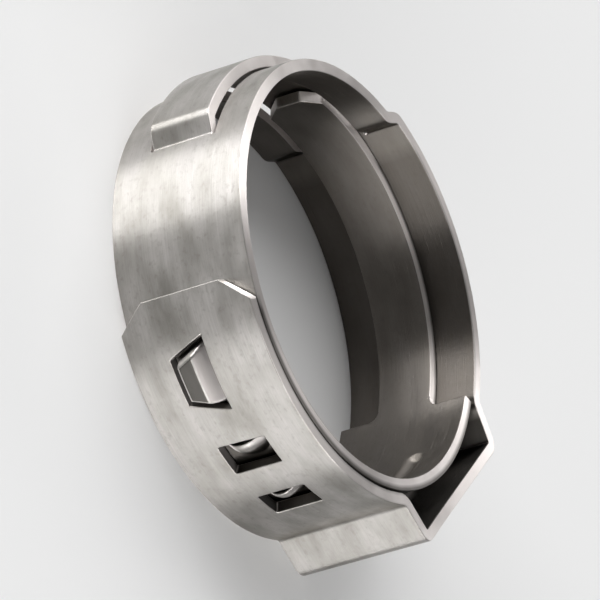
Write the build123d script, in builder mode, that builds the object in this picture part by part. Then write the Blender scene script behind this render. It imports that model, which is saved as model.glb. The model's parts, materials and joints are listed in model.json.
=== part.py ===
from build123d import *
import os
from math import asin, cos, degrees, radians, sin, sqrt, tan

# A stepless ear clamp: one strip of stainless sheet, curled about +Z so that it
# overlaps itself, with the clamping ear on +X. The origin is the middle of the
# bore. Angles are measured about +Z from the middle of the ear, in degrees, and
# lengths are in millimetres. Following the strip from its outer end, it runs
# through the latch windows, over the ear, along the tongue groove, in to the
# bore, under its own outer layer, and ends in a narrow tongue past the ear.

# ---- strip
bore_radius = 9.9
strip_width = 7.0
strip_thickness = 0.6
layer_gap = 0.1

# ---- stations along the strip
outer_end_angle = -116.0
groove_start_angle = 109.0
groove_end_angle = 201.0
groove_ramp_angle = 6.0
shoulder_angle = 27.0
tongue_tip_angle = 134.0

# ---- ear
ear_inside_width = 9.2
ear_rise = 0.9
ear_leg_lean = 10.0
ear_bend_radius = 0.45
ear_joint_overlap = 6.0
dimple_length = 6.5
dimple_width = 2.2
dimple_depth = 0.45
dimple_draft = 40.0

# ---- tongue groove and tongue
groove_width = 3.2
slit_width = 0.15
slit_end_radius = 0.18
tongue_clearance = 0.15
shoulder_fillet = 0.5
tongue_tip_chamfer = 0.8
outer_end_clip_length = 1.2
outer_end_clip_width = 1.4

# ---- latch windows and the scooped hooks that stand in them
window_angles = (-71.85, -53.5)
window_length = 1.65
window_width = 2.5
window_corner = 0.15
hook_clearance = 0.12
hook_height = 0.85
hook_crown = 0.4
hook_bearing_gap = 0.08
scoop_radius = 1.2

# ---- tunnel slot and its hollow hook
tunnel_angle = -95.0
tunnel_long_side = 3.7
tunnel_short_side = 2.25
tunnel_width = 1.95
tunnel_offset = -0.48
tunnel_hook_gap = 0.12
tunnel_hook_height = 1.25
tunnel_hook_draft = 15.0
tunnel_hook_wall = 0.23
tunnel_hook_fillet = 0.16

# ---- stiffening beads of the inner layer, under the ear
bead_angles = (-24.0, 4.0)
bead_spacing = 3.1
bead_groove_radius = 0.75
bead_depth = 0.25

TINY = 1e-4

# ---- radii that follow from the strip
inner_layer_top = bore_radius + strip_thickness
outer_layer_bottom = inner_layer_top + layer_gap
outer_layer_top = outer_layer_bottom + strip_thickness
outer_layer_middle = outer_layer_bottom + strip_thickness / 2
tongue_width = groove_width - 2 * tongue_clearance
shoulder_notch_end = shoulder_angle + degrees(2 * shoulder_fillet / bore_radius)
half_width = strip_width / 2
through_cut = 3 * strip_thickness
trim_height = 2 * strip_width
side_start = groove_width / 2 + slit_width
slit_height = groove_width / 2 + slit_width / 2
groove_ramp_in = groove_start_angle + groove_ramp_angle
groove_ramp_out = groove_end_angle - groove_ramp_angle

# ---- forms pushed out of the inner layer
inner_layer_middle = bore_radius + strip_thickness / 2
hook_half_width = window_width / 2 - hook_clearance
hook_sphere = (hook_half_width**2 + hook_height**2) / (2 * hook_height)
hook_centre_radius = inner_layer_top + hook_height - hook_sphere
scoop_centre_radius = inner_layer_top + hook_height - hook_crown - scoop_radius
hollow_lead = strip_thickness / 2 * tan(radians(tunnel_hook_draft))
bead_height = bead_spacing / 2
bead_centre_radius = bore_radius + bead_depth - bead_groove_radius

# ---- ear corners, on the middle of the sheet
roof_top = outer_layer_top + ear_rise
roof_middle = roof_top - strip_thickness / 2
corner_height = ear_inside_width / 2 + strip_thickness / 2
lean_cos = cos(radians(ear_leg_lean))
lean_sin = sin(radians(ear_leg_lean))
leg_along = roof_middle * lean_cos - corner_height * lean_sin
leg_across = roof_middle * lean_sin + corner_height * lean_cos
leg_length = leg_along - sqrt(outer_layer_middle**2 - leg_across**2)
root_height = corner_height + leg_length * lean_sin
root_angle = degrees(asin(root_height / outer_layer_middle))
ear_joint_angle = root_angle + ear_joint_overlap


def polar(radius, angle):
    """The point of the plan at a radius and an angle."""
    return (radius * cos(radians(angle)), radius * sin(radians(angle)))


def tangent(angle):
    """The direction of growing angle."""
    return (-sin(radians(angle)), cos(radians(angle)))


def sheet_plane(angle, radius):
    """A plane on the strip: x along the strip, y along +Z and z outwards."""
    x, y = polar(radius, angle)
    return Plane(
        origin=(x, y, 0), x_dir=(*tangent(angle), 0), z_dir=(*polar(1, angle), 0)
    )


def section_plane(angle):
    """A plane through the bore's axis: x outwards and y along +Z."""
    return Plane(
        origin=(0, 0, 0), x_dir=(*polar(1, angle), 0), z_dir=(*polar(1, angle - 90), 0)
    )


def edges_through_sheet(part, angle, height):
    """The short edges across the sheet's thickness at an angle, that far from mid-width."""
    along = Vector(*tangent(angle), 0)
    outward = Vector(*polar(1, angle), 0)

    def is_there(edge):
        middle = edge.center()
        on_station = abs(middle.dot(along)) < TINY and middle.dot(outward) > 0
        return on_station and abs(abs(middle.Z) - height) < TINY

    return part.edges().filter_by(is_there)


def hook_front_angle(window_angle):
    """Where a hook's bearing face stands, just inside its window's outer end."""
    reach = window_length / 2 - hook_bearing_gap
    return window_angle - degrees(reach / outer_layer_middle)


def tunnel_outline(inset):
    """The tunnel slot's four-sided outline, drawn smaller by an inset."""
    top = tunnel_offset + tunnel_width / 2
    bottom = tunnel_offset - tunnel_width / 2
    with BuildLine() as outline:
        Polyline(
            (-tunnel_long_side / 2, top),
            (tunnel_long_side / 2, top),
            (tunnel_short_side / 2, bottom),
            (-tunnel_short_side / 2, bottom),
            close=True,
        )
    make_face(outline.edges())
    if inset:
        offset(amount=-inset, kind=Kind.INTERSECTION)


def curved_strip(start_angle, end_angle, inner_radius, margin=0):
    """Plan of a stretch of strip that lies at one radius, thicker by a margin each side."""
    span = end_angle - start_angle
    outer_radius = inner_radius + strip_thickness
    with BuildLine() as outline:
        inner = CenterArc((0, 0), inner_radius - margin, start_angle, span)
        outer = CenterArc((0, 0), outer_radius + margin, start_angle, span)
        Line(inner @ 0, outer @ 0)
        Line(inner @ 1, outer @ 1)
    make_face(outline.edges())


def ramped_strip(start_angle, end_angle, start_radius, end_radius):
    """Plan of a stretch of strip that steps from one inner radius to another."""
    ends = (tangent(start_angle), tangent(end_angle))
    with BuildLine() as outline:
        inner = Spline(
            polar(start_radius, start_angle), polar(end_radius, end_angle), tangents=ends
        )
        outer = Spline(
            polar(start_radius + strip_thickness, start_angle),
            polar(end_radius + strip_thickness, end_angle),
            tangents=ends,
        )
        Line(inner @ 0, outer @ 0)
        Line(inner @ 1, outer @ 1)
    make_face(outline.edges())


def ear_strip():
    """Plan of the ear: two bands of the outer layer, two legs and the roof."""
    root_low = polar(outer_layer_middle, -root_angle)
    root_high = polar(outer_layer_middle, root_angle)
    corner_low = (roof_middle, -corner_height)
    corner_high = (roof_middle, corner_height)
    with BuildLine() as outline:
        CenterArc((0, 0), outer_layer_middle, -ear_joint_angle, ear_joint_angle - root_angle)
        Line(root_low, corner_low)
        Line(corner_low, corner_high)
        Line(corner_high, root_high)
        CenterArc((0, 0), outer_layer_middle, root_angle, ear_joint_angle - root_angle)
        bends = outline.vertices().sort_by(Axis.Y)[1:-1]
        fillet(bends, radius=ear_bend_radius)
        offset(amount=strip_thickness / 2, side=Side.BOTH)
    make_face(outline.edges())


roof_plane = Plane(origin=(roof_top, 0, 0), x_dir=(0, 1, 0), z_dir=(-1, 0, 0))
bead_ends = [
    (*polar(bead_centre_radius, angle), side * bead_height)
    for angle in bead_angles
    for side in (1, -1)
]

# Hollow forms are pushed out of the inner layer, so each has an outer body that
# joins the layer at its middle and an inner body that is cut from the bore side.

with BuildPart() as hook_domes:
    for angle in window_angles:
        front = hook_front_angle(angle)
        with Locations(sheet_plane(front, hook_centre_radius).location):
            Sphere(hook_sphere, arc_size3=180, rotation=(0, 0, -90), align=None)
    Cylinder(inner_layer_middle, trim_height, mode=Mode.SUBTRACT)

with BuildPart() as hook_scoops:
    for angle in window_angles:
        front = hook_front_angle(angle)
        with Locations(sheet_plane(front, scoop_centre_radius).location):
            Sphere(scoop_radius, arc_size3=180, rotation=(0, 0, -90), align=None)

with BuildPart() as tunnel_hook:
    with BuildSketch(sheet_plane(tunnel_angle, inner_layer_middle)):
        tunnel_outline(tunnel_hook_gap)
    extrude(amount=strip_thickness / 2 + tunnel_hook_height, taper=tunnel_hook_draft)
    crown = tunnel_hook.faces().sort_by_distance((0, 0, 0))[-1]
    fillet(crown.edges(), radius=tunnel_hook_fillet)

with BuildPart() as tunnel_hollow:
    with BuildSketch(sheet_plane(tunnel_angle, bore_radius)):
        tunnel_outline(tunnel_hook_gap + tunnel_hook_wall - hollow_lead)
    hollow_height = strip_thickness + tunnel_hook_height - tunnel_hook_wall
    extrude(amount=hollow_height, taper=tunnel_hook_draft)
    extrude(tunnel_hollow.faces().sort_by_distance((0, 0, 0))[0], amount=strip_thickness)

with BuildPart() as bead_ridges:
    with BuildSketch(section_plane(bead_angles[0])):
        with Locations((bead_centre_radius, bead_height), (bead_centre_radius, -bead_height)):
            Circle(bead_groove_radius + strip_thickness)
    revolve(axis=Axis.Z, revolution_arc=bead_angles[1] - bead_angles[0])
    with Locations(*bead_ends):
        Sphere(bead_groove_radius + strip_thickness)
    Cylinder(inner_layer_middle, trim_height, mode=Mode.SUBTRACT)

with BuildPart() as bead_grooves:
    with BuildSketch(section_plane(bead_angles[0])):
        with Locations((bead_centre_radius, bead_height), (bead_centre_radius, -bead_height)):
            Circle(bead_groove_radius)
    revolve(axis=Axis.Z, revolution_arc=bead_angles[1] - bead_angles[0])
    with Locations(*bead_ends):
        Sphere(bead_groove_radius)

with BuildPart() as shoulder_notches:
    for side_plane in (Plane.XY.offset(tongue_width / 2), Plane.XY.offset(-half_width)):
        with BuildSketch(side_plane):
            curved_strip(shoulder_angle, shoulder_notch_end, bore_radius, layer_gap / 2)
        extrude(amount=half_width - tongue_width / 2)
    fillet(
        edges_through_sheet(shoulder_notches, shoulder_angle, tongue_width / 2),
        radius=shoulder_fillet,
    )

with BuildPart() as clamp_band:
    # the outer layer, from its end to the tongue groove, with the ear
    with BuildSketch():
        curved_strip(outer_end_angle, -ear_joint_angle, outer_layer_bottom)
        ear_strip()
        curved_strip(ear_joint_angle, groove_start_angle, outer_layer_bottom)
    extrude(amount=half_width, both=True)

    # the corners of the outer end are clipped
    with BuildSketch(sheet_plane(outer_end_angle, outer_layer_middle)):
        for side in (1, -1):
            with BuildLine():
                Polyline(
                    (0, side * half_width),
                    (outer_end_clip_length, side * half_width),
                    (0, side * (half_width - outer_end_clip_width)),
                    close=True,
                )
            make_face()
    extrude(amount=strip_thickness, both=True, mode=Mode.SUBTRACT)

    # windows for the two hooks, and the slot for the tunnel hook
    for angle in window_angles:
        with BuildSketch(sheet_plane(angle, bore_radius)):
            RectangleRounded(window_length, window_width, window_corner)
        extrude(amount=through_cut, mode=Mode.SUBTRACT)
    with BuildSketch(sheet_plane(tunnel_angle, bore_radius)):
        tunnel_outline(0)
    extrude(amount=through_cut, mode=Mode.SUBTRACT)

    # the dimple pressed into the ear's roof
    with BuildSketch(roof_plane.offset(strip_thickness)):
        SlotOverall(dimple_length, dimple_width)
    extrude(amount=dimple_depth, taper=dimple_draft)
    with BuildSketch(roof_plane):
        SlotOverall(dimple_length, dimple_width)
    extrude(amount=dimple_depth, taper=dimple_draft, mode=Mode.SUBTRACT)

    # the middle of the groove stays out, and steps in to the bore at its far end
    with BuildSketch():
        curved_strip(groove_start_angle, groove_ramp_out, outer_layer_bottom)
        ramped_strip(groove_ramp_out, groove_end_angle, outer_layer_bottom, bore_radius)
    extrude(amount=groove_width / 2, both=True)

    # the two sides of the groove step in at once, and run beside the tongue
    for side_plane in (Plane.XY.offset(side_start), Plane.XY.offset(-half_width)):
        with BuildSketch(side_plane):
            ramped_strip(groove_start_angle, groove_ramp_in, outer_layer_bottom, bore_radius)
            curved_strip(groove_ramp_in, groove_end_angle, bore_radius)
        extrude(amount=half_width - side_start)

    # the inner layer, from the groove to the shoulder under the ear
    with BuildSketch():
        curved_strip(groove_end_angle, 360 + shoulder_notch_end, bore_radius)
    extrude(amount=half_width, both=True)
    add(shoulder_notches.part, mode=Mode.SUBTRACT)

    # both slits end in round holes
    for angle in (groove_start_angle, groove_end_angle):
        with BuildSketch(sheet_plane(angle, bore_radius)):
            with Locations((0, slit_height), (0, -slit_height)):
                Circle(slit_end_radius)
        extrude(amount=through_cut, both=True, mode=Mode.SUBTRACT)

    # the tongue, from under the ear into the groove
    with BuildSketch():
        curved_strip(shoulder_notch_end, tongue_tip_angle, bore_radius)
    extrude(amount=tongue_width / 2, both=True)
    chamfer(
        edges_through_sheet(clamp_band, tongue_tip_angle, tongue_width / 2),
        length=tongue_tip_chamfer,
    )

    # hooks and beads
    add(hook_domes.part)
    add(tunnel_hook.part)
    add(bead_ridges.part)
    add(hook_scoops.part, mode=Mode.SUBTRACT)
    add(tunnel_hollow.part, mode=Mode.SUBTRACT)
    add(bead_grooves.part, mode=Mode.SUBTRACT)

clamp_band.part.label = "clamp_band"
os.makedirs("parts", exist_ok=True)
export_step(clamp_band.part, "parts/clamp_band.step")
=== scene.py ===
import json
import math

import bpy
import numpy as np
from mathutils import Matrix, Vector, noise


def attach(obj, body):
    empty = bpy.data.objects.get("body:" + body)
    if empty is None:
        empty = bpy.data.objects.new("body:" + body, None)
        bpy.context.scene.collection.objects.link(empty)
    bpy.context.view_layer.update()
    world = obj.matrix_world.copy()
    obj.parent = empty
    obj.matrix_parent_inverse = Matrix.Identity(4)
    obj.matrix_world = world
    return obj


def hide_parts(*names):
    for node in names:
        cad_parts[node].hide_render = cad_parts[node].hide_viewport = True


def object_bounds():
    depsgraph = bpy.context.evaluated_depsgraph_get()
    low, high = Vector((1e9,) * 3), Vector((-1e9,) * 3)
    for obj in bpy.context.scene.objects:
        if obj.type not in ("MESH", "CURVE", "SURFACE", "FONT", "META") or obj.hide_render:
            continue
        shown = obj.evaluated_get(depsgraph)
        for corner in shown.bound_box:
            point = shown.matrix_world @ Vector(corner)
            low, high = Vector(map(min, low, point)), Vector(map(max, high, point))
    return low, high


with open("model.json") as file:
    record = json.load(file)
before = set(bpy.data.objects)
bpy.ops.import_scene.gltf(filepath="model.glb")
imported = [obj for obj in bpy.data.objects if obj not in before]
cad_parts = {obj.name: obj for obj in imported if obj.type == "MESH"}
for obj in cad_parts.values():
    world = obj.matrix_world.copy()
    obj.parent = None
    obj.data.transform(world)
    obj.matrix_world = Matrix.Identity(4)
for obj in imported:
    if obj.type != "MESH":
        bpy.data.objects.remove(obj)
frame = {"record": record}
cad_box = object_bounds()

# The clamp is one strip of sheet, so its mesh is one grid: rows of stations that
# follow the strip from its outer end to the tip of its tongue, and columns across
# its width. Every station has an angle about the bore, which runs on past a full
# turn under the outer layer. Lengths are in millimetres until the mesh is made.

MM = 0.001
bore = next(m for m in frame["record"]["mounts"] if m["name"] == "hose_bore")["dims"]

# ---- strip
BORE_RADIUS = bore["r_mm"]
STRIP_WIDTH = bore["length_mm"]
THICKNESS = 0.6
LAYER_GAP = 0.1
HALF_WIDTH = STRIP_WIDTH / 2
INNER_MIDDLE = BORE_RADIUS + THICKNESS / 2
OUTER_MIDDLE = INNER_MIDDLE + THICKNESS + LAYER_GAP
OUTER_TOP = OUTER_MIDDLE + THICKNESS / 2

# ---- stations, in degrees along the strip
OUTER_END = -116.0
GROOVE_START, GROOVE_END, GROOVE_RAMP = 109.0, 201.0, 6.0
SHOULDER, TONGUE_TIP = 387.0, 494.0

# ---- ear
EAR_INSIDE_WIDTH = 9.2
EAR_RISE = 0.9
EAR_LEAN = 10.0
EAR_BEND = 0.78
EAR_REACH = 36.0
DIMPLE_LENGTH, DIMPLE_WIDTH, DIMPLE_DEPTH, DIMPLE_WALL = 6.5, 2.2, 0.45, 0.55

# ---- groove, tongue and ends
GROOVE_HALF, SLIT_WIDTH = 1.6, 0.15
TONGUE_HALF, SHOULDER_FILLET, TIP_CHAMFER = 1.45, 0.5, 0.8
CLIP_LENGTH, CLIP_WIDTH = 1.2, 1.4

# ---- windows and hooks
WINDOW_ANGLES = (-71.85, -53.5)
WINDOW_LENGTH, WINDOW_WIDTH, WINDOW_CORNER = 1.65, 2.5, 0.12
HOOK_CLEARANCE, HOOK_LENGTH, HOOK_HEIGHT = 0.12, 1.2, 0.85
HOOK_CROWN, HOOK_BEARING_GAP, LANCE_WIDTH = 0.4, 0.08, 0.03
HOOK_HALF_WIDTH = WINDOW_WIDTH / 2 - HOOK_CLEARANCE
TUNNEL_ANGLE = -95.0
TUNNEL_LONG, TUNNEL_SHORT, TUNNEL_TOP, TUNNEL_BOTTOM = 3.7, 2.25, 0.495, -1.455
TUNNEL_HOOK_GAP, TUNNEL_HOOK_HEIGHT, TUNNEL_HOOK_SLOPE, TUNNEL_HOOK_WALL = 0.12, 1.25, 0.45, 0.23

# ---- beads under the ear
BEAD_ANGLES = (336.0, 364.0)
BEAD_HEIGHT, BEAD_GROOVE_HALF, BEAD_RIDGE_HALF, BEAD_DEPTH = 1.55, 0.6, 0.85, 0.25

# ---- the photograph's view
VIEW_AZIMUTH, VIEW_ELEVATION = -107.76, 27.6
PICTURE_UP = Vector((-0.8748, 0.4082, 0.2608))
VIEW_AIM, VIEW_DISTANCE, VIEW_LENS = Vector((0.0004, 0, 0)), 0.2908, 370

# ---- grid: steps in millimetres, and the degrees over which shaped rows fall back in line
HOOK_STEP, FINE_STEP, COARSE_STEP = 0.065, 0.11, 0.3
EAR_STEP_SHARE = 0.6
FINE_WIDTH = 2.2
CLOSEST_BREAKS = 0.02
CLIP_BLEND, TIP_BLEND, SHOULDER_BLEND = 14, 12, 9
END_MARGIN, SHOULDER_BEFORE, SHOULDER_AFTER, BEAD_MARGIN = 8, 4, 6, 6

# ---- finish of the sheet
EDGE_ROUND = 0.06
WAVE_DEPTH, WAVE_LENGTH = 0.03, 3.2
RELIEF = 0.006

# ---- colours of the steel, then painted shade for the bore, under the outer layer, in the ear and on cut walls, and a painted dark reflection for the tunnel hook's crown
CLEAN = (0.50, 0.48, 0.46, 1)
STAINED = (0.325, 0.312, 0.286, 1)
SPECKLED = (0.22, 0.20, 0.18, 1)
GRAINED = (0.27, 0.255, 0.24, 1)
SHEARED = (0.76, 0.715, 0.695, 1)
# painted shade for hidden and hollow places, and a painted dark reflection for the hook's crown
PAINTED_SHADE_IN_BORE = (0.13, 0.115, 0.10, 1)
PAINTED_SHADE_UNDER_OUTER_LAYER = (0.075, 0.066, 0.058, 1)
PAINTED_SHADE_IN_EAR = (0.03, 0.027, 0.024, 1)
PAINTED_REFLECTION_ON_HOOK_CROWN = (0.07, 0.066, 0.06, 1)
PAINTED_SHADE_ON_CUT_WALLS = (0.04, 0.036, 0.033, 1)

# ---- studio
FLOOR_REACH, FLOOR_COLOUR = 0.7, (0.86, 0.86, 0.86, 1)
WORLD_STOPS = ((0.0, 0.82), (0.07, 0.82), (0.17, 0.22), (0.7, 0.14), (1.0, 0.3))


def degrees_for(length, radius=OUTER_MIDDLE):
    """The angle that an arc of this length takes."""
    return math.degrees(length / radius)


def smoothstep(value):
    t = np.clip(value, 0.0, 1.0)
    return t * t * (3 - 2 * t)


def tent(value):
    """1 at 0, falling to 0 at 1 on both sides."""
    return np.clip(1 - np.abs(value), 0.0, 1.0)


def filled(breaks, step_of):
    """Sorted places through every break, no further apart than step_of says there."""
    ordered = sorted(breaks)
    breaks = ordered[:1]
    for place in ordered[1:]:
        if place - breaks[-1] > CLOSEST_BREAKS:
            breaks.append(place)
    places = [breaks[0]]
    for low, high in zip(breaks, breaks[1:]):
        count = max(1, math.ceil((high - low) / step_of((low + high) / 2) - 1e-9))
        places += [low + (high - low) * k / count for k in range(1, count + 1)]
    return np.array(places)


def ear_path():
    """The middle of the sheet over the ear: station angles and plan points."""
    lean = math.radians(EAR_LEAN)
    corner = np.array([OUTER_TOP + EAR_RISE - THICKNESS / 2, (EAR_INSIDE_WIDTH + THICKNESS) / 2])
    down = np.array([-math.cos(lean), math.sin(lean)])
    along = corner @ down
    leg = -along - math.sqrt(along**2 - corner @ corner + OUTER_MIDDLE**2)
    root = corner + leg * down
    root_angle = math.degrees(math.atan2(root[1], root[0]))
    reach = EAR_REACH + 4.0
    arc = np.radians(np.linspace(reach, root_angle, 60))
    upper = [OUTER_MIDDLE * np.array([math.cos(a), math.sin(a)]) for a in arc] + [corner]
    lower = [point * (1, -1) for point in upper]
    corners = np.array(lower + upper[::-1])
    length = np.concatenate([[0], np.cumsum(np.hypot(*np.diff(corners, axis=0).T))])
    step = 0.02
    even = np.arange(0, length[-1], step)
    points = np.stack([np.interp(even, length, corners[:, k]) for k in (0, 1)], axis=1)
    window = np.ones(round(EAR_BEND / step)) / round(EAR_BEND / step)
    rounded = np.stack([np.convolve(points[:, k], window, "same") for k in (0, 1)], axis=1)
    angle = np.degrees(np.arctan2(rounded[:, 1], rounded[:, 0]))
    inside = np.abs(angle) <= EAR_REACH
    first, last = np.flatnonzero(inside)[[0, -1]]
    kept = slice(first, last + 1)
    run = even[kept] - even[first]
    stations = -EAR_REACH + 2 * EAR_REACH * run / run[-1]
    return stations, rounded[kept], run[-1]


EAR_STATIONS, EAR_POINTS, EAR_LENGTH = ear_path()


def middle(station, at_side):
    """The middle of the sheet in plan, where at_side is true for the groove's sides."""
    to_bore = smoothstep((station - (GROOVE_END - GROOVE_RAMP)) / GROOVE_RAMP)
    side_to_bore = smoothstep((station - GROOVE_START) / GROOVE_RAMP)
    share = np.where(at_side, side_to_bore, to_bore)
    radius = OUTER_MIDDLE + (INNER_MIDDLE - OUTER_MIDDLE) * share
    angle = np.radians(station)
    plan = np.stack([radius * np.cos(angle), radius * np.sin(angle)], axis=-1)
    over_ear = np.stack(
        [np.interp(station, EAR_STATIONS, EAR_POINTS[:, k]) for k in (0, 1)], axis=-1
    )
    return np.where((np.abs(station) < EAR_REACH)[..., None], over_ear, plan)


def outward(station, at_side):
    """The sheet's outward normal in plan."""
    reach = 0.12
    run = middle(station + reach, at_side) - middle(station - reach, at_side)
    run /= np.linalg.norm(run, axis=-1, keepdims=True)
    return np.stack([run[..., 1], -run[..., 0]], axis=-1)


def hook_front(angle):
    return 360 + angle - degrees_for(WINDOW_LENGTH / 2 - HOOK_BEARING_GAP)


def row_breaks():
    """Stations that a form's border needs, and the spans that need fine steps."""
    breaks = [OUTER_END, OUTER_END + END_MARGIN, TONGUE_TIP - END_MARGIN, TONGUE_TIP]
    breaks += [-EAR_REACH, EAR_REACH]
    breaks += [GROOVE_START, GROOVE_START + GROOVE_RAMP, GROOVE_END - GROOVE_RAMP, GROOVE_END]
    breaks += [SHOULDER - SHOULDER_BEFORE, SHOULDER, SHOULDER + SHOULDER_AFTER]
    half = degrees_for(TUNNEL_LONG / 2)
    breaks += [TUNNEL_ANGLE - half, TUNNEL_ANGLE + half]
    fine = [(TUNNEL_ANGLE - half - 4, TUNNEL_ANGLE + half + 4), (-EAR_REACH, EAR_REACH)]
    hooks = [(360 + TUNNEL_ANGLE - half, 360 + TUNNEL_ANGLE + half)]
    fine += [(GROOVE_START - 1, GROOVE_START + GROOVE_RAMP)]
    fine += [(SHOULDER - SHOULDER_BEFORE, SHOULDER + SHOULDER_AFTER)]
    fine += [(GROOVE_END - GROOVE_RAMP, GROOVE_END + 1)]
    for angle in WINDOW_ANGLES:
        half = degrees_for(WINDOW_LENGTH / 2)
        corner = degrees_for(WINDOW_CORNER)
        breaks += [angle - half, angle - half + corner, angle + half - corner, angle + half]
        front = hook_front(angle)
        breaks += [front - degrees_for(LANCE_WIDTH), front]
        hooks += [(front - 1, front + degrees_for(HOOK_LENGTH) + 1)]
    fine += [(angle - BEAD_MARGIN, angle + BEAD_MARGIN) for angle in BEAD_ANGLES]
    return breaks, fine, hooks


def column_breaks():
    slit_outer = GROOVE_HALF + SLIT_WIDTH
    tip = TONGUE_HALF - TIP_CHAMFER
    both = [HALF_WIDTH, HALF_WIDTH - CLIP_WIDTH, slit_outer, GROOVE_HALF, TONGUE_HALF, tip]
    both += [WINDOW_WIDTH / 2, WINDOW_WIDTH / 2 - WINDOW_CORNER, HOOK_HALF_WIDTH]
    both += [TONGUE_HALF + SHOULDER_FILLET]
    return [side * value for value in both for side in (1, -1)] + [TUNNEL_TOP, TUNNEL_BOTTOM]


def make_grid():
    """Stations and heights of every vertex, before and after the borders are shaped."""
    breaks, fine, hooks = row_breaks()

    def row_step(at):
        for spans, step in ((hooks, HOOK_STEP), (fine, FINE_STEP)):
            if any(low <= at <= high for low, high in spans):
                return degrees_for(step * (EAR_STEP_SHARE if abs(at) < EAR_REACH else 1))
        return degrees_for(COARSE_STEP)

    rows = filled(breaks + [end for span in fine + hooks for end in span], row_step)
    columns = filled(
        column_breaks(), lambda at: FINE_STEP if abs(at) < FINE_WIDTH else COARSE_STEP
    )
    return np.meshgrid(rows, columns, indexing="ij")


def shaped(station, height):
    """Moves stations so that grid rows follow slanted and rounded borders."""
    across = np.abs(height)
    # clipped corners of the outer end
    clip = degrees_for(CLIP_LENGTH) * np.clip((across - HALF_WIDTH + CLIP_WIDTH) / CLIP_WIDTH, 0, 1)
    moved = station + clip * tent((station - OUTER_END) / CLIP_BLEND)
    # chamfered tip of the tongue
    tip = degrees_for(TIP_CHAMFER, INNER_MIDDLE)
    tip = tip * np.clip((across - TONGUE_HALF + TIP_CHAMFER) / TIP_CHAMFER, 0, 1)
    moved -= tip * tent((station - TONGUE_TIP) / TIP_BLEND)
    # fillets where the tongue leaves the shoulder
    inside = np.clip(SHOULDER_FILLET - (across - TONGUE_HALF), 0, SHOULDER_FILLET)
    fillet = SHOULDER_FILLET - np.sqrt(SHOULDER_FILLET**2 - inside**2)
    fillet *= np.where(across < TONGUE_HALF, tent((TONGUE_HALF - across) / 0.6), 1)
    near = tent((station - SHOULDER) / SHOULDER_BLEND)
    moved += degrees_for(1, INNER_MIDDLE) * fillet * near
    # slanted ends of the tunnel slot
    width = TUNNEL_TOP - TUNNEL_BOTTOM
    slant = degrees_for((TUNNEL_LONG - TUNNEL_SHORT) / 2) * np.clip((TUNNEL_TOP - height) / width, 0, 1)
    slant *= np.where(height < TUNNEL_BOTTOM, tent((TUNNEL_BOTTOM - height) / 0.8), 1)
    half = degrees_for(TUNNEL_LONG / 2)
    moved += slant * tent((station - (TUNNEL_ANGLE - half)) / half)
    moved -= slant * tent((station - (TUNNEL_ANGLE + half)) / half)
    # corners of the windows, each pulled in to the middle of its round
    pull = WINDOW_CORNER * 0.29
    for angle in WINDOW_ANGLES:
        half = degrees_for(WINDOW_LENGTH / 2)
        for side in (-1, 1):
            at_end = np.abs(station - (angle + side * half)) < 1e-3
            at_corner = np.abs(across - WINDOW_WIDTH / 2) < CLOSEST_BREAKS
            moved -= side * degrees_for(pull) * (at_end & at_corner)
    return moved


def is_cut(station, height):
    """Which grid faces are holes or lie off the strip, told by their middles."""
    across = np.abs(height)
    in_slit = (across > GROOVE_HALF) & (across < GROOVE_HALF + SLIT_WIDTH)
    cut = in_slit & (station > GROOVE_START) & (station < GROOVE_END)
    cut |= (station > SHOULDER) & (across > TONGUE_HALF)
    half = degrees_for(TUNNEL_LONG / 2)
    in_slot = (height < TUNNEL_TOP) & (height > TUNNEL_BOTTOM)
    cut |= in_slot & (np.abs(station - TUNNEL_ANGLE) < half)
    for angle in WINDOW_ANGLES:
        in_window = (across < WINDOW_WIDTH / 2) & (
            np.abs(station - angle) < degrees_for(WINDOW_LENGTH / 2)
        )
        front = hook_front(angle)
        in_lance = (station < front) & (station > front - degrees_for(LANCE_WIDTH))
        cut |= in_window | (in_lance & (across < HOOK_HALF_WIDTH))
    return cut


def dome(station, height, front, length, half_width):
    """A half dome, 1 at its sheared front and 0 round its base."""
    x = np.radians(station - front) * (BORE_RADIUS + THICKNESS)
    base = (x / length) ** 2 + (height / half_width) ** 2
    return np.where(x > -1e-4, np.clip(1 - base, 0, 1) ** 1.15, 0)


def tunnel_form(station, height, inset):
    """The tunnel hook's drafted form, from 0 round its outline to 1 on its crown."""
    x = np.radians(station - 360 - TUNNEL_ANGLE) * (BORE_RADIUS + THICKNESS)
    width = TUNNEL_TOP - TUNNEL_BOTTOM
    lean = math.atan2((TUNNEL_LONG - TUNNEL_SHORT) / 2, width)
    ends = TUNNEL_LONG / 2 - (TUNNEL_TOP - height) * math.tan(lean) - np.abs(x)
    depth = np.minimum(ends * math.cos(lean), np.minimum(TUNNEL_TOP - height, height - TUNNEL_BOTTOM))
    return smoothstep((depth - inset) / TUNNEL_HOOK_SLOPE)


def bead(station, height, half_width):
    low, high = BEAD_ANGLES
    nearest = np.clip(station, low, high)
    x = np.radians(station - nearest) * INNER_MIDDLE
    away = np.hypot(x, np.abs(height) - BEAD_HEIGHT) / half_width
    return np.clip(1 - away**2, 0, 1) ** 2


def dimple(station, height):
    """0 round the dimple's outline in the roof and 1 on its floor."""
    along = station / (2 * EAR_REACH) * EAR_LENGTH
    straight = (DIMPLE_LENGTH - DIMPLE_WIDTH) / 2
    x = np.clip(np.abs(along) - straight, 0, None)
    depth = DIMPLE_WIDTH / 2 - np.hypot(x, height)
    return smoothstep(depth / DIMPLE_WALL)


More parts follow.
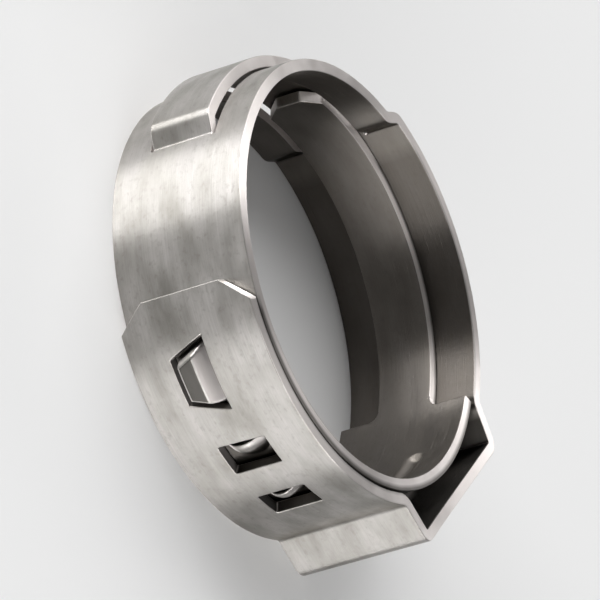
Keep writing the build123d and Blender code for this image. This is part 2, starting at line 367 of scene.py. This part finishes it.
def surfaces(station, height, at_side):
    """Points of the sheet's outer and inner faces."""
    plan = middle(station, at_side)
    normal = outward(station, at_side)
    wave = np.zeros(station.shape)
    for place in np.ndindex(station.shape):
        x, y = plan[place]
        wave[place] = noise.noise(Vector((x, y, height[place])) / WAVE_LENGTH)
    sunk = WAVE_DEPTH * (1 - wave) / 2
    outer = THICKNESS / 2 - sunk
    inner = -THICKNESS / 2 - sunk
    for angle in WINDOW_ANGLES:
        front = hook_front(angle)
        outer += HOOK_HEIGHT * dome(station, height, front, HOOK_LENGTH, HOOK_HALF_WIDTH)
        depth = HOOK_HEIGHT + THICKNESS - HOOK_CROWN
        inner += depth * dome(station, height, front, HOOK_LENGTH, HOOK_HALF_WIDTH)
    outer += TUNNEL_HOOK_HEIGHT * tunnel_form(station, height, TUNNEL_HOOK_GAP)
    depth = TUNNEL_HOOK_HEIGHT + THICKNESS - TUNNEL_HOOK_WALL
    inner += depth * tunnel_form(station, height, TUNNEL_HOOK_GAP + 0.1)
    outer += BEAD_DEPTH * bead(station, height, BEAD_RIDGE_HALF)
    inner += BEAD_DEPTH * bead(station, height, BEAD_GROOVE_HALF)
    pressed = DIMPLE_DEPTH * dimple(station, height)
    faces = []
    for offset in (outer - pressed, inner - pressed):
        flat = plan + normal * offset[..., None]
        faces.append(np.concatenate([flat, height[..., None]], axis=-1))
    return faces


def make_clamp():
    """The whole strip as one closed mesh."""
    station, height = make_grid()
    rows, columns = station.shape
    centre_station = (station[:-1, :-1] + station[1:, 1:]) / 2
    centre_height = (height[:-1, :-1] + height[1:, 1:]) / 2
    kept = ~is_cut(centre_station, centre_height)
    at_side = np.abs(height) > GROOVE_HALF + SLIT_WIDTH / 2
    moved = shaped(station, height)
    outer, inner = surfaces(moved, height, at_side)
    points = np.concatenate([outer.reshape(-1, 3), inner.reshape(-1, 3)]) * MM
    below = rows * columns

    def index(row, column):
        return row * columns + column

    faces = []
    sheared = set()
    for row, column in zip(*np.nonzero(kept)):
        a, b = index(row, column), index(row + 1, column)
        c, d = index(row + 1, column + 1), index(row, column + 1)
        faces.append((a, b, c, d))
        faces.append((d + below, c + below, b + below, a + below))
        around = (
            (row - 1, column, d, a),
            (row, column + 1, c, d),
            (row + 1, column, b, c),
            (row, column - 1, a, b),
        )
        for near_row, near_column, start, end in around:
            in_grid = 0 <= near_row < rows - 1 and 0 <= near_column < columns - 1
            if not (in_grid and kept[near_row, near_column]):
                faces.append((end, start, start + below, end + below))
                sheared.add(frozenset((start, end)))
                sheared.add(frozenset((start + below, end + below)))
    used = np.unique([v for face in faces for v in face])
    number = {int(v): k for k, v in enumerate(used)}
    mesh = bpy.data.meshes.new("strip")
    mesh.from_pydata([tuple(points[v]) for v in used], [], [[number[int(v)] for v in f] for f in faces])
    mesh.shade_smooth()
    weights = mesh.attributes.new("bevel_weight_edge", "FLOAT", "EDGE")
    for edge in mesh.edges:
        pair = [int(used[v]) for v in edge.vertices]
        weights.data[edge.index].value = float(frozenset(pair) in sheared)
    clamp = bpy.data.objects.new("clamp_strip", mesh)
    bpy.context.scene.collection.objects.link(clamp)
    bevel = clamp.modifiers.new("edge_round", "BEVEL")
    bevel.width = EDGE_ROUND * MM
    bevel.segments = 2
    bevel.limit_method = "WEIGHT"
    bevel.use_clamp_overlap = False
    bevel.harden_normals = True
    return clamp


def add_node(tree, kind, inputs=None, **settings):
    """A new node, whose inputs are plain values or other nodes' outputs."""
    node = tree.nodes.new(kind)
    for name, value in settings.items():
        setattr(node, name, value)
    for name, value in (inputs or {}).items():
        if isinstance(value, bpy.types.NodeSocket):
            tree.links.new(value, node.inputs[name])
        else:
            node.inputs[name].default_value = value
    return node


def noise_over(tree, place, per_mm, detail=4, rotation=(0, 0, 0)):
    """Noise whose grains are set per millimetre along x, y and z."""
    scale = [count / MM for count in per_mm]
    mapped = add_node(
        tree, "ShaderNodeMapping", {"Vector": place, "Scale": scale, "Rotation": rotation}
    )
    made = add_node(
        tree, "ShaderNodeTexNoise", {"Vector": mapped.outputs[0], "Scale": 1, "Detail": detail}
    )
    return made.outputs["Fac"]


def remap(tree, value, low, high, to_low, to_high):
    limits = {"From Min": low, "From Max": high, "To Min": to_low, "To Max": to_high}
    return add_node(tree, "ShaderNodeMapRange", {"Value": value, **limits}).outputs["Result"]


def blend_colour(tree, share, first, second):
    made = add_node(tree, "ShaderNodeMix", {0: share, 6: first, 7: second}, data_type="RGBA")
    return made.outputs[2]


def combine(tree, operation, first, second):
    return add_node(tree, "ShaderNodeMath", {0: first, 1: second}, operation=operation).outputs[0]


def along(tree, place, angle):
    """How far a point lies from the bore's axis towards an angle about it."""
    towards = tuple(direction(angle, 0))
    node = add_node(tree, "ShaderNodeVectorMath", {0: place, 1: towards}, operation="DOT_PRODUCT")
    return node.outputs["Value"]


def shade_under_outer_layer_share(tree, place, radius):
    """How much painted shade a point gets on the inner layer where the outer layer covers it."""
    top = BORE_RADIUS + THICKNESS
    below = remap(tree, radius, (top - 0.01) * MM, (top + 0.28) * MM, 1, 0)
    above = remap(tree, radius, (top - 0.32) * MM, (top - 0.12) * MM, 0, 1)
    bare_middle = (GROOVE_START + 360 + OUTER_END) / 2
    bare_half = math.radians((360 + OUTER_END - GROOVE_START) / 2)
    limit = top * math.cos(bare_half)
    to_bare = along(tree, place, bare_middle)
    under = remap(tree, to_bare, (limit - 1.8) * MM, (limit - 1.0) * MM, 0.8, 0)
    return combine(tree, "MULTIPLY", combine(tree, "MULTIPLY", below, above), under)


def shade_in_ear_share(tree, radius, outwards):
    """How much painted shade a point gets on the ear's hidden side."""
    beyond = remap(tree, radius, (OUTER_TOP - 0.2) * MM, (OUTER_TOP + 0.2) * MM, 0, 0.9)
    return combine(tree, "MULTIPLY", beyond, remap(tree, outwards, -2 * MM, 0, 1, 0))


def dark_reflection_on_hook_crown_share(tree, place, outwards):
    """How much painted dark reflection a point gets on the tunnel hook's flat crown."""
    crown = BORE_RADIUS + THICKNESS + TUNNEL_HOOK_HEIGHT
    level = remap(tree, outwards, (crown - 0.45) * MM, (crown - 0.2) * MM, 0, 0.9)
    to_hook = along(tree, place, TUNNEL_ANGLE)
    near = remap(tree, to_hook, (crown - 0.7) * MM, (crown - 0.5) * MM, 0, 1)
    return combine(tree, "MULTIPLY", level, near)


def shade_on_cut_walls_share(tree, place, outwards):
    """How much painted shade a point gets on a cut wall of the slot or the windows."""
    wall = remap(tree, combine(tree, "ABSOLUTE", outwards, 0), 1.6 * MM, 2.6 * MM, 0.85, 0)
    middle_angle = (TUNNEL_ANGLE + WINDOW_ANGLES[1]) / 2
    near = remap(tree, along(tree, place, middle_angle), 8.5 * MM, 9.1 * MM, 0, 1)
    return combine(tree, "MULTIPLY", wall, near)


def steel_colour(tree, place, normal, stain, speckle, grain, at_edge):
    """Clean steel with its stains, specks and grain and pale edges; painted shade in the bore, under
    the outer layer, in the ear and on cut walls; a painted dark reflection on the tunnel hook's crown.
    """
    stained = remap(tree, stain, 0.36, 0.7, 0, 1)
    colour = blend_colour(tree, stained, CLEAN, STAINED)
    colour = blend_colour(tree, remap(tree, speckle, 0.55, 0.75, 0, 0.35), colour, SPECKLED)
    colour = blend_colour(tree, remap(tree, grain, 0.4, 0.7, 0, 0.22), colour, GRAINED)
    colour = blend_colour(tree, at_edge, colour, SHEARED)
    flat = add_node(tree, "ShaderNodeVectorMath", {0: place, 1: (1, 1, 0)}, operation="MULTIPLY")
    radius = add_node(
        tree, "ShaderNodeVectorMath", {0: flat.outputs["Vector"]}, operation="LENGTH"
    ).outputs["Value"]
    outwards = add_node(
        tree, "ShaderNodeVectorMath", {0: place, 1: normal}, operation="DOT_PRODUCT"
    ).outputs["Value"]
    # Painted shade darkens the bore's inside, the inner layer under the outer layer, the ear's hidden
    # side and the cut walls; the tunnel hook's crown gets a painted dark reflection.
    for share, tint in (
        (remap(tree, outwards, -8 * MM, -3 * MM, 0.8, 0), PAINTED_SHADE_IN_BORE),
        (shade_under_outer_layer_share(tree, place, radius), PAINTED_SHADE_UNDER_OUTER_LAYER),
        (shade_in_ear_share(tree, radius, outwards), PAINTED_SHADE_IN_EAR),
        (dark_reflection_on_hook_crown_share(tree, place, outwards), PAINTED_REFLECTION_ON_HOOK_CROWN),
        (shade_on_cut_walls_share(tree, place, outwards), PAINTED_SHADE_ON_CUT_WALLS),
    ):
        colour = blend_colour(tree, share, colour, tint)
    return colour


def steel_roughness(tree, stain, fine_grain, scratched, at_edge):
    rough = remap(tree, stain, 0.3, 0.7, 0.3, 0.42)
    rough = combine(tree, "ADD", rough, remap(tree, fine_grain, 0.3, 0.7, -0.03, 0.07))
    rough = combine(tree, "ADD", rough, combine(tree, "MULTIPLY", scratched, 0.12))
    return combine(tree, "ADD", rough, combine(tree, "MULTIPLY", at_edge, 0.14))


def steel_relief(tree, grain, fine_grain, speckle, scratched):
    relief = combine(tree, "ADD", grain, combine(tree, "MULTIPLY", fine_grain, 0.5))
    relief = combine(tree, "ADD", relief, combine(tree, "MULTIPLY", speckle, 0.6))
    relief = combine(tree, "SUBTRACT", relief, combine(tree, "MULTIPLY", scratched, 0.5))
    bump = {"Height": relief, "Distance": RELIEF * MM, "Strength": 1.0}
    return add_node(tree, "ShaderNodeBump", bump).outputs["Normal"]


def strip_steel():
    """Mill-finished stainless strip: rolled grain along it, stains and paler sheared edges, with
    painted shade and a painted dark reflection in its colour.
    """
    material = bpy.data.materials.new("stainless_strip_and_painted_shade")
    material.use_nodes = True
    tree = material.node_tree
    coordinates = add_node(tree, "ShaderNodeTexCoord")
    place, normal = coordinates.outputs["Object"], coordinates.outputs["Normal"]
    grain = noise_over(tree, place, (0.35, 0.35, 16), detail=3)
    fine_grain = noise_over(tree, place, (1.2, 1.2, 45), detail=2)
    stain = noise_over(tree, place, (0.34, 0.34, 0.85), detail=6)
    speckle = noise_over(tree, place, (3.2, 3.2, 5), detail=4)
    scratch = noise_over(tree, place, (0.3, 0.3, 26), detail=1, rotation=(0.12, 0.08, 0))
    scratched = remap(tree, scratch, 0.7, 0.76, 0, 1)
    facing = add_node(tree, "ShaderNodeSeparateXYZ", {0: normal})
    upright = combine(tree, "ABSOLUTE", facing.outputs["Z"], 0)
    at_edge = remap(tree, upright, 0.35, 0.8, 0, 0.85)
    around = add_node(tree, "ShaderNodeTangent", direction_type="RADIAL", axis="Z")

    shader = tree.nodes["Principled BSDF"]
    for name, made in (
        ("Base Color", steel_colour(tree, place, normal, stain, speckle, grain, at_edge)),
        ("Roughness", steel_roughness(tree, stain, fine_grain, scratched, at_edge)),
        ("Normal", steel_relief(tree, grain, fine_grain, speckle, scratched)),
        ("Tangent", around.outputs[0]),
    ):
        tree.links.new(made, shader.inputs[name])
    shader.inputs["Metallic"].default_value = 1.0
    shader.inputs["Anisotropic"].default_value = 0.95
    shader.inputs["Anisotropic Rotation"].default_value = 0.25
    return material


def link(name, data):
    made = bpy.data.objects.new(name, data)
    bpy.context.scene.collection.objects.link(made)
    return made


def direction(azimuth, elevation):
    """A unit vector at an angle about +Z from +X, and above the floor."""
    a, e = math.radians(azimuth), math.radians(elevation)
    return Vector((math.cos(a) * math.cos(e), math.sin(a) * math.cos(e), math.sin(e)))


def make_floor(height):
    """A matte pale floor, so that no lamp is mirrored in it at a low angle."""
    reach = FLOOR_REACH
    corners = [(-reach, -reach), (reach, -reach), (reach, reach), (-reach, reach)]
    mesh = bpy.data.meshes.new("floor")
    mesh.from_pydata([(x, y, height) for x, y in corners], [], [(0, 1, 2, 3)])
    material = bpy.data.materials.new("floor_paint")
    material.use_nodes = True
    shader = material.node_tree.nodes["Principled BSDF"]
    shader.inputs["Base Color"].default_value = FLOOR_COLOUR
    shader.inputs["Roughness"].default_value = 1.0
    shader.inputs["Specular IOR Level"].default_value = 0.0
    mesh.materials.append(material)
    link("floor", mesh)


def make_world():
    """A plain studio: pale low down, dimmer above, so that metal has something to show."""
    world = bpy.data.worlds.new("studio")
    world.use_nodes = True
    tree = world.node_tree
    coordinates = add_node(tree, "ShaderNodeTexCoord")
    split = add_node(tree, "ShaderNodeSeparateXYZ", {0: coordinates.outputs["Generated"]})
    ramp = add_node(tree, "ShaderNodeValToRGB", {"Fac": split.outputs["Z"]})
    while len(ramp.color_ramp.elements) < len(WORLD_STOPS):
        ramp.color_ramp.elements.new(0.5)
    for element, (place, level) in zip(ramp.color_ramp.elements, WORLD_STOPS):
        element.position = place
        element.color = (level, level, level, 1)
    tree.links.new(ramp.outputs["Color"], tree.nodes["Background"].inputs["Color"])
    bpy.context.scene.world = world


def softbox(name, azimuth, elevation, distance, size, watts):
    """A square-on area lamp at a direction from the clamp."""
    data = bpy.data.lights.new(name, "AREA")
    data.shape = "RECTANGLE"
    data.size, data.size_y = size
    data.energy = watts
    away = direction(azimuth, elevation)
    lamp = link(name, data)
    lamp.location = away * distance
    lamp.rotation_mode = "QUATERNION"
    lamp.rotation_quaternion = away.to_track_quat("Z", "Y")


def make_camera():
    """A long lens from the photograph's side, rolled so that the ear is low on the right."""
    back = direction(VIEW_AZIMUTH, VIEW_ELEVATION)
    up = (PICTURE_UP - PICTURE_UP.dot(back) * back).normalized()
    data = bpy.data.cameras.new("camera")
    data.sensor_width = 36
    data.lens = VIEW_LENS
    data.clip_start = 0.01
    camera = link("camera", data)
    camera.matrix_world = Matrix((up.cross(back), up, back)).transposed().to_4x4()
    camera.location = VIEW_AIM + back * VIEW_DISTANCE
    bpy.context.scene.camera = camera


clamp = make_clamp()
clamp.data.materials.append(strip_steel())
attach(clamp, "root")
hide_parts("clamp_band")

make_floor(cad_box[0][2])
make_world()
softbox("key", azimuth=142, elevation=38, distance=1.2, size=(1.6, 1.1), watts=12.8)
softbox("strip", azimuth=182, elevation=9, distance=1.5, size=(1.0, 0.27), watts=20)
softbox("back", azimuth=72, elevation=26, distance=0.8, size=(0.45, 0.2), watts=0.5)
softbox("front", azimuth=-57, elevation=10, distance=1.5, size=(2.45, 0.33), watts=28.8)
softbox("fill", azimuth=-60, elevation=60, distance=0.9, size=(0.4, 0.4), watts=0.4)
make_camera()
bpy.context.scene.view_settings.view_transform = "Standard"
